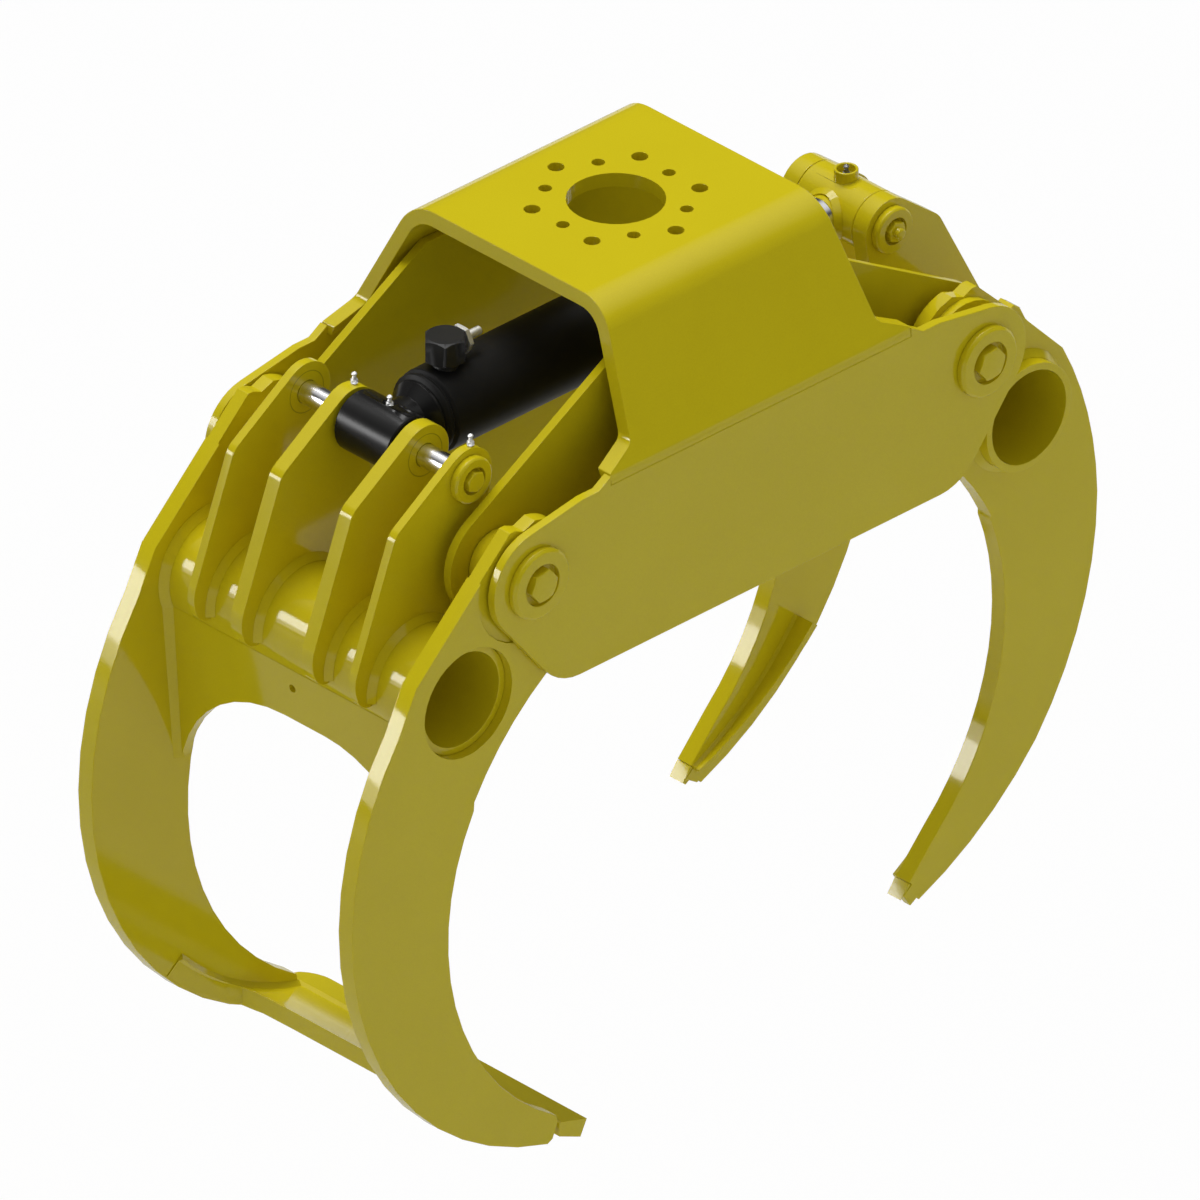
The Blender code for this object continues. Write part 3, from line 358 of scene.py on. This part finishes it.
# Side plates: on each side an outer plate under the hood's lip, an inner plate
# and a bent web between them, flame-cut from plate and welded at every seam.
def weld_nodes():
    """Node group that lays a fillet weld, flat at 45 degrees and lightly rippled, along edges."""
    group = bpy.data.node_groups.new("fillet_weld", "GeometryNodeTree")
    for label, kind in (("Seam", "Geometry"), ("Leg", "Float"), ("Ripple", "Float"), ("Pitch", "Float"),
                        ("Seed", "Float"), ("Paint", "Material")):
        group.interface.new_socket(label, in_out="INPUT", socket_type=f"NodeSocket{kind}")
    group.interface.new_socket("Bead", in_out="OUTPUT", socket_type="NodeSocketGeometry")

    def add(kind, **settings):
        node = group.nodes.new(kind)
        for key, setting in settings.items():
            setattr(node, key, setting)
        return node

    def join(source, label, target, slot):
        group.links.new(source.outputs[label], target.inputs[slot])

    given = add("NodeGroupInput")
    curve = add("GeometryNodeMeshToCurve")
    even = add("GeometryNodeResampleCurve", mode="LENGTH")
    section = add("GeometryNodeCurvePrimitiveCircle")
    section.inputs["Resolution"].default_value = 4
    sweep = add("GeometryNodeCurveToMesh")
    sweep.inputs["Fill Caps"].default_value = True
    scale = add("ShaderNodeMath", operation="DIVIDE")
    scale.inputs[0].default_value = 1.0
    waves = add("ShaderNodeTexNoise", noise_dimensions="4D")
    centred = add("ShaderNodeMath", operation="SUBTRACT")
    centred.inputs[1].default_value = 0.5
    height = add("ShaderNodeMath", operation="MULTIPLY")
    normal = add("GeometryNodeInputNormal")
    offset = add("ShaderNodeVectorMath", operation="SCALE")
    ripple = add("GeometryNodeSetPosition")
    bend = add("GeometryNodeInputMeshEdgeAngle")
    crisp = add("FunctionNodeCompare", data_type="FLOAT", operation="GREATER_THAN")
    crisp.inputs["B"].default_value = 0.7
    sharp = add("GeometryNodeSetShadeSmooth", domain="EDGE")
    sharp.inputs["Shade Smooth"].default_value = False
    real = add("GeometryNodeRealizeInstances")
    coat = add("GeometryNodeSetMaterial")
    result = add("NodeGroupOutput")
    join(given, "Seam", curve, "Mesh")
    join(curve, "Curve", even, "Curve")
    join(given, "Pitch", even, "Length")
    join(given, "Leg", section, "Radius")
    join(even, "Curve", sweep, "Curve")
    join(section, "Curve", sweep, "Profile Curve")
    join(given, "Pitch", scale, 1)
    join(scale, 0, waves, "Scale")
    join(given, "Seed", waves, "W")
    join(waves, 0, centred, 0)
    join(centred, 0, height, 0)
    join(given, "Ripple", height, 1)
    join(normal, 0, offset, 0)
    join(height, 0, offset, "Scale")
    join(sweep, "Mesh", ripple, "Geometry")
    join(offset, 0, ripple, "Offset")
    join(ripple, "Geometry", sharp, "Geometry")
    join(bend, "Unsigned Angle", crisp, "A")
    join(crisp, 0, sharp, "Selection")
    join(sharp, "Geometry", real, "Geometry")
    join(real, "Geometry", coat, "Geometry")
    join(given, "Paint", coat, "Material")
    join(coat, "Geometry", result, "Bead")
    return group


fillet_weld = weld_nodes()
weld_paint = yellow_paint("weld_enamel", relief=0.0002)


RIPPLE = 0.06
WELD_SEED = 1.0


def weld(name, body, leg, seams, pitch=0.0025):
    """Fillet welds of one body, each seam a list of points and whether it closes."""
    points = []
    edges = []
    for seam, closed in seams:
        first = len(points)
        points.extend(seam)
        edges.extend((i, i + 1) for i in range(first, len(points) - 1))
        if closed:
            edges.append((len(points) - 1, first))
    mesh = bpy.data.meshes.new(name)
    mesh.from_pydata(points, edges, [])
    piece = link(name, mesh)
    bead = piece.modifiers.new("Weld", "NODES")
    bead.node_group = fillet_weld
    given = {"Leg": leg, "Ripple": leg * RIPPLE, "Pitch": pitch, "Seed": WELD_SEED, "Paint": weld_paint}
    for item in fillet_weld.interface.items_tree:
        if item.in_out == "INPUT" and item.name in given:
            bead[item.identifier] = given[item.name]
    settle(piece)
    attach(piece, body)
    return piece


def turn_about(x, z, radius, y, start=0.0, end=360.0, steps=72):
    """Seam round an axis along Y, from one angle to another, closed when it is a full turn."""
    closed = end - start >= 360.0
    count = steps if closed else steps + 1
    angles = [math.radians(start + (end - start) * i / steps) for i in range(count)]
    return [(x + radius * math.cos(a), y, z + radius * math.sin(a)) for a in angles], closed


# The inner plates get the yellow darkened to 84 percent, painted shade for the shadow under the hood, and a
# lower IOR for weaker reflections.
shaded_inside_paint = yellow_paint("shaded_inside_enamel", painted_shade=0.84, shine=1.16)
for hand in ("near", "far"):
    dressed(f"outer_plate_{hand}", f"cheek_plate_{hand}", "frame", paint, 0.0006, 1)
    dressed(f"inner_plate_{hand}", f"inside_plate_{hand}", "frame", shaded_inside_paint)
    dressed(f"box_web_{hand}", f"side_box_web_{hand}", "frame", paint)
LIP_SEAM_X = 0.2075
LIP_SEAM_Z = -0.1573
LIP_SEAM_Y = 0.2095
BOX_CORNER_R = 0.020
BUTT_LEG = 0.0011
BUTT_PITCH = 0.004
BOX_LEG = 0.005
box_low, box_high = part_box("box_web_far")
side = []
for x in (box_low[0], box_high[0]):
    turn_x = x - math.copysign(BOX_CORNER_R, x)
    bend = [math.radians(90 * i / 6) for i in range(7)]
    side.append([(x, box_high[2])] + [(turn_x + math.copysign(BOX_CORNER_R, x) * math.cos(a),
                 box_low[2] + BOX_CORNER_R - BOX_CORNER_R * math.sin(a)) for a in bend])
web_path = side[0] + side[1][::-1]
for hand, sign in (("near", -1), ("far", 1)):
    butt = [(-LIP_SEAM_X, sign * LIP_SEAM_Y, LIP_SEAM_Z), (LIP_SEAM_X, sign * LIP_SEAM_Y, LIP_SEAM_Z)]
    weld(f"lip_weld_{hand}", "frame", BUTT_LEG, [(butt, False)], BUTT_PITCH)
    seams = [([(x, sign * y, z) for x, z in web_path], False) for y in (box_low[1], box_high[1])]
    weld(f"box_weld_{hand}", "frame", BOX_LEG, seams)


# Arm pivots: a chromed stub pin through each box side, a yellow cap over its
# outer end and a hexagon bolt sunk in the cap.
def chrome_finish(name, along):
    """Hard chrome with fine turning lines round the axis."""
    made = Finish(name)
    lines = made.noise(1.0, 2.0, where=made.stretched(*[2600.0 if a else 60.0 for a in along]))
    smudge = made.noise(26.0, 2.0)
    colour = made.blend(smudge, (0.74, 0.74, 0.76, 1.0), (0.84, 0.84, 0.855, 1.0))
    relief = made.relief(lines, 0.00003, 0.5)
    return made.set(Base_Color=colour, Metallic=1.0, Roughness=0.16 + 0.10 * smudge, Normal=relief)


def turned(name, profile, steps=64):
    """Piece turned about Z from (radius, height) pairs, closed on the axis at both ends."""
    bm = bmesh.new()
    rings = []
    for radius, height in profile:
        angles = [math.tau * i / steps for i in range(steps)]
        spots = [(radius * math.cos(a), radius * math.sin(a), height) for a in angles]
        rings.append([bm.verts.new(spot) for spot in (spots if radius else spots[:1])])
    for lower, upper in zip(rings, rings[1:]):
        for i in range(steps):
            j = (i + 1) % steps
            corners = [ring[k % len(ring)] for ring, k in ((lower, i), (lower, j), (upper, j), (upper, i))]
            bm.faces.new(list(dict.fromkeys(corners)))
    mesh = bpy.data.meshes.new(name)
    bm.to_mesh(mesh)
    bm.free()
    return link(name, mesh)


def cut(piece, tool, operation):
    step = piece.modifiers.new("Cut", "BOOLEAN")
    step.operation = operation
    step.object = tool
    settle(piece)
    bpy.data.objects.remove(tool)
    return piece


TURNED_FACE = 0.95
CONE_OVER = 1.06


def hexagon(name, flats, low, high, both_ends=False, degrees=30.0):
    """Hexagon prism whose corners are turned off to a cone at its outer end."""
    corner = flats / math.sqrt(3)
    prism = turned(name, [(0, low), (corner, low), (corner, high), (0, high)], 6)
    reach = flats / 2 * TURNED_FACE
    wide = corner * CONE_OVER
    drop = (wide - reach) * math.tan(math.radians(degrees))
    foot = [(0, low - drop), (wide, low - drop)]
    if both_ends:
        foot = [(0, low), (reach, low), (wide, low + drop)]
    cone = turned("cone", foot + [(wide, high - drop), (reach, high), (0, high)], 96)
    return cut(prism, cone, "INTERSECT")


def stand(piece, x, y, z, toward, roll=0.0):
    """Set a piece made along Z at a place, pointing another way, in its mesh."""
    turn = Vector(toward).to_track_quat("Z", "Y").to_matrix().to_4x4()
    spin = Matrix.Rotation(math.radians(roll), 4, "Z")
    piece.data.transform(Matrix.Translation((x, y, z)) @ turn @ spin)
    return piece


def axis_of(node):
    """The middle of a node's box, and its half width across an axis along Y."""
    low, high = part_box(node)
    return [(a + b) / 2 for a, b in zip(low, high)], (high[0] - low[0]) / 2


pin_chrome = chrome_finish("pin_chrome", (0, 1, 0))
HEAD_FLATS = 0.032
HEAD_ROLL = 9.0
for arm in ("left", "right"):
    for hand, sign in (("near", -1), ("far", 1)):
        end = f"{arm}_{hand}"
        dressed(f"pivot_pin_{end}", f"stub_pin_{end}", "frame", pin_chrome, 0.001, 2, "chrome")
        dressed(f"pivot_cap_{end}", f"pin_cap_{end}", "frame", paint, 0.0007)
        node = f"pivot_bolt_{end}"
        (x, y, z), _ = axis_of(node)
        low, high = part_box(node)
        thick = high[1] - low[1]
        head = hexagon(f"cap_bolt_{end}", HEAD_FLATS, -thick / 2, thick / 2)
        stand(head, x, y, z, (0, sign, 0), HEAD_ROLL)
        finished(head, node, "frame", paint, 0.0004)


# Lipped arm: two wide tines on the torsion tube, a shovel lip across their
# points and an arched web under the tube, all welded up and painted.
SEAM_OUT = 0.0003
TINE_LEG = 0.0078
SEAM_LEG = 0.0050
WIDE_TINE_Y = 0.179
WEB_LEAN = 0.0145
LIP_ARC = (-0.1915, -0.550)
LIP_SEAM = ((-0.437, -0.784), (-0.273, -0.885))


def spiral(centre, start, end, y, steps=16):
    """Seam from one point to another round a centre, its radius changing evenly."""
    first, last = [(point[0] - centre[0], point[1] - centre[1]) for point in (start, end)]
    angles = [math.atan2(leg[1], leg[0]) for leg in (first, last)]
    radii = [math.hypot(*leg) for leg in (first, last)]
    points = []
    for i in range(steps + 1):
        radius, angle = [ends[0] + (ends[1] - ends[0]) * i / steps for ends in (radii, angles)]
        points.append((centre[0] + radius * math.cos(angle), y, centre[1] + radius * math.sin(angle)))
    return points, False


def web_seam(arm, y):
    """Seam down the outer face of a web where it meets a tine."""
    low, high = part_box(f"web_{arm}")
    outer = low[0] if arm == "left" else high[0]
    lean = math.copysign(WEB_LEAN, outer)
    return [(outer, y, high[2]), (outer - lean, y, low[2])], False


for hand in ("near", "far"):
    dressed(f"tine_left_{hand}", f"wide_tine_{hand}", "arm_left", paint, 0.0006, 1)
    dressed(f"ear_bush_left_{hand}", f"ear_bush_l_{hand}", "arm_left", paint)
dressed("torsion_tube_left", "torsion_tube_l", "arm_left", paint)
dressed("web_left", "arched_web_l", "arm_left", paint)
dressed("lip_plate", "shovel_lip", "arm_left", paint, 0.0006, 1)
(tube_x, _, tube_z), tube_r = axis_of("torsion_tube_left")
inner_y = WIDE_TINE_Y - SEAM_OUT
rings = [turn_about(tube_x, tube_z, tube_r + SEAM_OUT, y) for y in (-inner_y, inner_y)]
weld("tube_weld_l", "arm_left", TINE_LEG, rings)
seams = [web_seam("left", y) for y in (-WIDE_TINE_Y, WIDE_TINE_Y)]
weld("web_weld_l", "arm_left", TINE_LEG, seams)
seams = [spiral(LIP_ARC, *LIP_SEAM, y) for y in (-WIDE_TINE_Y, WIDE_TINE_Y)]
weld("lip_tine_weld", "arm_left", SEAM_LEG, seams)


# Pointed arm: two narrower tines set inside the others, each with a pad and
# collar at its ear, a wear tip let into its point and a tapering rib inside.
for hand in ("near", "far"):
    dressed(f"tine_right_{hand}", f"pointed_tine_{hand}", "arm_right", paint, 0.0005, 1)
    dressed(f"ear_bush_right_{hand}", f"ear_bush_r_{hand}", "arm_right", paint)
    dressed(f"tip_{hand}", f"wear_tip_{hand}", "arm_right", paint, 0.0004, 1)
    dressed(f"rib_{hand}", f"tine_rib_{hand}", "arm_right", paint, 0.0006)
dressed("torsion_tube_right", "torsion_tube_r", "arm_right", paint)
dressed("web_right", "arched_web_r", "arm_right", paint)
TINE_FACES = (0.1485, 0.1685)
RIB_ARC = (0.0885, -0.482)
RIB_INSIDE = ((0.397, -0.716), (0.253, -0.837))
RIB_OUTSIDE = ((0.4042, -0.7214), (0.2549, -0.8411))
RIB_LEG = 0.003
(tube_x, _, tube_z), tube_r = axis_of("torsion_tube_right")
INNER_WELD = (-105.0, 105.0)
rings = []
for sign in (-1, 1):
    outside, inside = sign * (TINE_FACES[1] + SEAM_OUT), sign * (TINE_FACES[0] - SEAM_OUT)
    rings.append(turn_about(tube_x, tube_z, tube_r + SEAM_OUT, outside))
    rings.append(turn_about(tube_x, tube_z, tube_r + SEAM_OUT, inside, *INNER_WELD))
weld("tube_weld_r", "arm_right", TINE_LEG * 0.9, rings)
inner_faces = (-TINE_FACES[0], TINE_FACES[0])
weld("web_weld_r", "arm_right", TINE_LEG, [web_seam("right", y) for y in inner_faces])
seams = [spiral(RIB_ARC, *ends, y) for y in inner_faces for ends in (RIB_INSIDE, RIB_OUTSIDE)]
weld("rib_weld", "arm_right", RIB_LEG, seams)


# Lugs: plates that saddle the torsion tubes and carry the cylinder's pins, a
# steel bush pressed flush in each so that only its round seam shows.
UPPER_PIN_X = 0.3218
UPPER_PIN_Z = -0.140
LEFT_BACK = ((-0.422, -0.167, 0.007), (-0.481, -0.319, 0.014), (-0.470, -0.350, 0.013))
RIGHT_BACK = ((0.392, -0.153, 0.006), (0.4186, -0.203, 0.006), (0.453, -0.269, 0.006))
LUG_LEG = 0.0068
LUG_FROM = -8.0
LUG_TO = 186.0
left_lug_paint = yellow_paint("lug_enamel_left", [(-UPPER_PIN_X, UPPER_PIN_Z)])
right_lug_paint = yellow_paint("lug_enamel_right", [(UPPER_PIN_X, UPPER_PIN_Z)])


def lug_seams(arm, lugs):
    """Seams over the torsion tube at both faces of each lug."""
    (x, _, z), radius = axis_of(f"torsion_tube_{arm}")
    seams = []
    for lug in lugs:
        low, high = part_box(lug)
        for y in (low[1] - SEAM_OUT, high[1] + SEAM_OUT):
            seams.append(turn_about(x, z, radius + SEAM_OUT, y, LUG_FROM, LUG_TO))
    return seams


left_lugs = [f"lug_left_{row}_{hand}" for row in ("inner", "outer") for hand in ("near", "far")]
right_lugs = [f"lug_right_{hand}" for hand in ("near", "far")]
for node in left_lugs:
    name = node.replace("lug_left", "eye_lug")
    dressed(node, name, "arm_left", left_lug_paint, 0.0006, soften=LEFT_BACK)
for node in right_lugs:
    name = node.replace("lug_right", "rod_lug")
    dressed(node, name, "arm_right", right_lug_paint, 0.0006, soften=RIGHT_BACK)
weld("lug_weld_l", "arm_left", LUG_LEG, lug_seams("left", left_lugs))
weld("lug_weld_r", "arm_right", LUG_LEG, lug_seams("right", right_lugs))


# Upper pins: chromed cross pins through the lugs, each kept by a yellow cap
# with a bolt head in it on the left and a nut on its bolt end on the right.
PIN_FLATS = 0.021
PIN_ROLL = -19.0
STUD_R = 0.006
STUD_OUT = 0.006
THREAD = 0.0015
THREAD_DEPTH = 0.0005
for arm in ("left", "right"):
    dressed(f"upper_pin_{arm}", f"cross_pin_{arm}", f"arm_{arm}", pin_chrome, 0.0008, 2, "chrome")
    dressed(f"upper_cap_{arm}", f"cross_cap_{arm}", f"arm_{arm}", paint, 0.0006)
    node = f"upper_bolt_{arm}"
    low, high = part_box(node)
    (x, y, z), _ = axis_of(node)
    thick = high[1] - low[1]
    if arm == "left":
        head = hexagon("cross_bolt_left", PIN_FLATS, -thick / 2, thick / 2)
    else:
        top = thick / 2 - STUD_OUT
        head = hexagon("cross_bolt_right", PIN_FLATS, -thick / 2, top)
        turns = int(STUD_OUT / THREAD) - 1
        crest = [(STUD_R - (i % 2) * THREAD_DEPTH, top - 0.001 + i * THREAD / 2) for i in range(2 * turns + 3)]
        end = [(STUD_R - 0.0012, thick / 2 - 0.0003), (STUD_R - 0.002, thick / 2), (0, thick / 2)]
        cut(head, turned("stud", [(0, 0), (STUD_R, 0)] + crest + end), "UNION")
    stand(head, x, y, z, (0, -1, 0), PIN_ROLL)
    finished(head, node, f"arm_{arm}", paint, 0.00035, 1)


# Cylinder: a black enamelled barrel with its cross eye, its gland nut and the
# piston inside, hung between the left lugs.
def black_enamel(name, dullness, lift=0.0, shine=1.30):
    """Black paint; dullness is its roughness and lift greys it a little."""
    made = Finish(name)
    cloud = made.noise(16.0, 3.0)
    peel = made.noise(210.0, 2.0)
    low = (0.0078 + lift, 0.0076 + lift, 0.0072 + lift, 1.0)
    high = (0.0115 + lift, 0.0110 + lift, 0.0104 + lift, 1.0)
    colour = made.blend(cloud.step(0.35, 0.70), low, high)
    relief = made.relief(peel, 0.00008, 0.3)
    return made.set(Base_Color=colour, Roughness=dullness + 0.10 * cloud, IOR=shine, Normal=relief)


gloss_black = black_enamel("gloss_black", 0.20)
satin_black = black_enamel("satin_black", 0.40, 0.003, 1.18)
for node, name, body, coat in (("cylinder_eye", "barrel_eye", "barrel", gloss_black),
                               ("cylinder_barrel", "barrel", "barrel", satin_black),
                               ("cylinder_gland", "gland_nut", "barrel", gloss_black),
                               ("piston", "piston_body", "rod_end", satin_black)):
    dressed(node, name, body, coat, 0.0009, 2, "black_paint", 25)
SPOT_R = 0.0090
SPOT_SEAT = 0.0003
(spot_x, spot_y, _), _ = axis_of("nipple_eye")
low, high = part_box("nipple_eye")
seat = low[2] + SPOT_SEAT
spot = turned("spot_face", [(0, seat), (SPOT_R, seat), (SPOT_R, high[2]), (0, high[2])], 48)
cut(bpy.data.objects["barrel_eye"], stand(spot, spot_x, spot_y, 0.0, (0, 0, 1)), "DIFFERENCE")


# Oil port: a black elbow block like a thick hexagon nut on top of the barrel,
# with a zinc-plated union nut and its short tail screwed into the side.
def zinc_plate(name, low, high):
    """Plated steel, mottled from one grey to another."""
    made = Finish(name)
    mottle = made.noise(180.0, 3.0)
    colour = made.blend(mottle, (low, low, low * 0.98, 1.0), (high, high, high * 0.99, 1.0))
    relief = made.relief(mottle, 0.0001, 0.4)
    return made.set(Base_Color=colour, Metallic=0.8, Roughness=0.32 + 0.12 * mottle, Normal=relief)


zinc = zinc_plate("zinc_plate", 0.74, 0.90)
block_black = black_enamel("block_black", 0.36, 0.005)
BLOCK_FLATS = 0.040
BLOCK_TOP = -0.0608
BLOCK_FOOT = -0.0887
BLOCK_ROLL = 46.0
STEM_R = 0.013
BARREL_R = 0.045
STEM_SINK = 0.9
STEM_IN_BLOCK = 0.004
UNION_FLATS = 0.027
UNION_T = 0.0055
TAIL_R = 0.0047
TAIL_LENGTH = 0.022
(port_x, port_y, _), _ = axis_of("port_block")
block = hexagon("elbow_block", BLOCK_FLATS, BLOCK_FOOT, BLOCK_TOP, both_ends=True, degrees=38.0)
stem_low = UPPER_PIN_Z + BARREL_R * STEM_SINK
stem_high = BLOCK_FOOT + STEM_IN_BLOCK
stem = turned("stem", [(0, stem_low), (STEM_R, stem_low), (STEM_R, stem_high), (0, stem_high)])
cut(block, stem, "UNION")
stand(block, port_x, port_y, 0.0, (0, 0, 1), BLOCK_ROLL)
finished(block, "port_block", "barrel", block_black, 0.0005, 2, "black_paint", 18)
union = hexagon("hose_union", UNION_FLATS, 0.0, UNION_T, degrees=15.0)
tail_top = UNION_T + TAIL_LENGTH
tail = turned("tail", [(0, 0.001), (TAIL_R, 0.001), (TAIL_R, tail_top - 0.001),
                       (TAIL_R - 0.001, tail_top), (0, tail_top)])
cut(union, tail, "UNION")
stand(union, port_x + BLOCK_FLATS / 2 + 0.0002, port_y, (BLOCK_TOP + BLOCK_FOOT) / 2, (1, 0, 0), 0.0)
finished(union, "port_union", "barrel", zinc, 0.0003, 2, "zinc_plate")


# Rod: hard chromed bar from the piston to a yellow cross tube on the right
# pin, welded round where it meets the tube, with a grease cup on the tube.
rod_chrome = chrome_finish("rod_chrome", (1, 0, 0))
EYE_R = 0.033
EYE_HALF = 0.042
ROD_R = 0.0225
ROD_WELD_LEG = 0.006
ROD_FIT = 0.0005
CUP_R = 0.0125
CUP_BORE_R = 0.0095
CUP_RISE = 0.0108
CUP_FLOOR = 0.002
CUP_EDGE = 0.0008
EYE_EDGE = 0.001
BORE_GAP = 0.0004
NECK_LENGTH = 0.018
NECK_PROUD = 0.0035
dressed("rod", "chromed_rod", "rod_end", rod_chrome, 0.0006, 2, "chrome")
across = turned("rod_eye_tube", [(0, -EYE_HALF), (EYE_R - EYE_EDGE, -EYE_HALF), (EYE_R, EYE_EDGE - EYE_HALF),
                                 (EYE_R, EYE_HALF - EYE_EDGE), (EYE_R - EYE_EDGE, EYE_HALF), (0, EYE_HALF)])
stand(across, UPPER_PIN_X, 0.0, UPPER_PIN_Z, (0, 1, 0))
pin_low, pin_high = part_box("upper_pin_right")
bore_r = (pin_high[0] - pin_low[0]) / 2 + BORE_GAP
hole = turned("hole", [(0, -EYE_R * 2), (bore_r, -EYE_R * 2), (bore_r, EYE_R * 2), (0, EYE_R * 2)])
stand(hole, UPPER_PIN_X, 0.0, UPPER_PIN_Z, (0, 1, 0))
cup_top = UPPER_PIN_Z + EYE_R + CUP_RISE
cup_foot = UPPER_PIN_Z + 0.02
cup_floor = UPPER_PIN_Z + EYE_R + CUP_FLOOR
cup = turned("cup", [(0, cup_foot), (CUP_R, cup_foot), (CUP_R, cup_top - CUP_EDGE),
                     (CUP_R - CUP_EDGE, cup_top), (CUP_BORE_R + CUP_EDGE, cup_top),
                     (CUP_BORE_R, cup_top - CUP_EDGE), (CUP_BORE_R, cup_floor), (0, cup_floor)])
stand(cup, UPPER_PIN_X, 0.0, 0.0, (0, 0, 1))
neck_in = UPPER_PIN_X - EYE_R - NECK_PROUD
neck_r = ROD_R + ROD_FIT
neck = turned("neck", [(0, 0), (neck_r, 0), (neck_r, NECK_LENGTH), (0, NECK_LENGTH)])
stand(neck, neck_in, 0.0, UPPER_PIN_Z, (1, 0, 0))
cut(across, cup, "UNION")
cut(across, neck, "UNION")
cut(across, hole, "DIFFERENCE")
finished(across, "rod_eye", "rod_end", paint, 0.0005, 2, angle=40)
saddle = []
for i in range(72):
    a = math.tau * i / 72
    y, z = (ROD_R + SEAM_OUT) * math.cos(a), (ROD_R + SEAM_OUT) * math.sin(a)
    saddle.append((UPPER_PIN_X - math.sqrt((EYE_R + SEAM_OUT) ** 2 - z * z), y, UPPER_PIN_Z + z))
weld("rod_weld", "rod_end", ROD_WELD_LEG, [(saddle, True)])


# Grease fittings: small plated nipples, hexagon below and ball-headed above, in
# the lugs' tops, the barrel's eye and the cup on the rod's cross tube.
FIT_FLATS = 0.0068
FIT_HEX = 0.0042
NECK_OF_FIT = 0.0026
# The nipple down in the rod eye's cup gets a dark grey plate, painted shade for the cup's recess.
cup_shade_plate = zinc_plate("cup_shade_plate", 0.16, 0.26)
for node, body in (("nipple_eye", "barrel"), ("nipple_lug_near", "arm_left"), ("nipple_lug_far", "arm_left"),
                   ("nipple_rod_eye", "rod_end")):
    low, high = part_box(node)
    (x, y, z), _ = axis_of(node)
    tall = high[2] - low[2]
    fitting = hexagon(node.replace("nipple", "grease_fitting"), FIT_FLATS, 0.0, FIT_HEX)
    ball = [(0.0022, tall - 0.0052), (0.0017, tall - 0.0040), (0.0024, tall - 0.0030), (0.0030, tall - 0.0018),
            (0.0024, tall - 0.0006), (0.0011, tall), (0.0006, tall - 0.0004), (0, tall - 0.0004)]
    shank = [(0, 0.001), (NECK_OF_FIT, 0.001), (NECK_OF_FIT, FIT_HEX + 0.0006)]
    cut(fitting, turned("ball", shank + ball, 32), "UNION")
    stand(fitting, x, y, low[2], (0, 0, 1))
    plate = cup_shade_plate if node == "nipple_rod_eye" else zinc
    finished(fitting, node, body, plate, 0.0002, 1, "zinc_plate")
